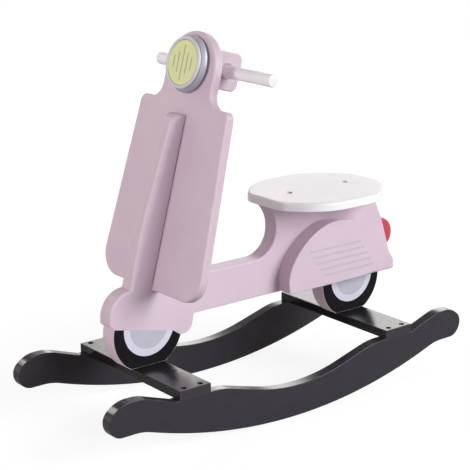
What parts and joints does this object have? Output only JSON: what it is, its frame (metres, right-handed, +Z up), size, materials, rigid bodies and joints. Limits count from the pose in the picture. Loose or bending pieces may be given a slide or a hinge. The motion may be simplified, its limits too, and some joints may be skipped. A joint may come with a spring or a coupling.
{
  "type": "rocking scooter",
  "caption": "Child's ride-on rocker: a painted plywood scooter body with seat, leg shield, handlebar and headlight, standing on two curved runners joined by cross-boards.",
  "frame": {"origin": "on the floor under the middle of the bounding box, midway along and between the two runners", "axes": "+X to the rear of the scooter, along the runners; +Y to its right side; +Z up"},
  "size_m": [0.755, 0.282, 0.6194],
  "materials": {
    "black_paint": "black lacquer, half gloss",
    "pink_paint": "pale mauve pink paint, satin",
    "white_dowel": "white paint, satin",
    "white_seat": "white paint, satin",
    "red_paint": "red paint, satin",
    "silver_paint": "silver paint",
    "yellow_paint": "pale yellow-green paint",
    "tyre_print": "black print",
    "rim_print": "pale lilac-white print",
    "hub_print": "pale grey print",
    "stripe_print": "grey-mauve print",
    "screw_steel": "dark zinc"
  },
  "bodies": {
    "root": {"runner_left": "black_paint", "runner_right": "black_paint", "cross_board_front": "black_paint", "cross_board_rear": "black_paint", "profile_board": "pink_paint", "leg_shield": "pink_paint", "cowl_left": "pink_paint", "cowl_right": "pink_paint", "handlebar_block": "pink_paint", "handlebar_dowel": "white_dowel", "seat_board": "white_seat", "tail_light": "red_paint", "headlight_housing": "silver_paint", "headlight_rim": "silver_paint", "headlight_lens": "yellow_paint", "tyre_print_front_left": "tyre_print", "tyre_print_front_right": "tyre_print", "rim_print_front_left": "rim_print", "rim_print_front_right": "rim_print", "hub_print_front_left": "hub_print", "hub_print_front_right": "hub_print", "tyre_print_rear_left": "tyre_print", "tyre_print_rear_right": "tyre_print", "rim_print_rear_left": "rim_print", "rim_print_rear_right": "rim_print", "hub_print_rear_left": "hub_print", "hub_print_rear_right": "hub_print", "stripe_left_1": "stripe_print", "stripe_left_2": "stripe_print", "stripe_left_3": "stripe_print", "stripe_left_4": "stripe_print", "stripe_left_5": "stripe_print", "stripe_right_1": "stripe_print", "stripe_right_2": "stripe_print", "stripe_right_3": "stripe_print", "stripe_right_4": "stripe_print", "stripe_right_5": "stripe_print", "deck_screw_front_left_a": "screw_steel", "deck_screw_front_left_b": "screw_steel", "deck_screw_front_right_a": "screw_steel", "deck_screw_front_right_b": "screw_steel", "deck_screw_rear_left_a": "screw_steel", "deck_screw_rear_left_b": "screw_steel", "deck_screw_rear_right_a": "screw_steel", "deck_screw_rear_right_b": "screw_steel", "stand_screw_front_a": "screw_steel", "stand_screw_front_b": "screw_steel", "stand_screw_rear_a": "screw_steel", "stand_screw_rear_b": "screw_steel", "seat_screw_front": "screw_steel", "seat_screw_rear": "screw_steel", "shield_screw_1": "screw_steel", "shield_screw_2": "screw_steel", "shield_screw_3": "screw_steel", "block_screw_lower": "screw_steel", "block_screw_upper": "screw_steel"}
  },
  "joints": []
}
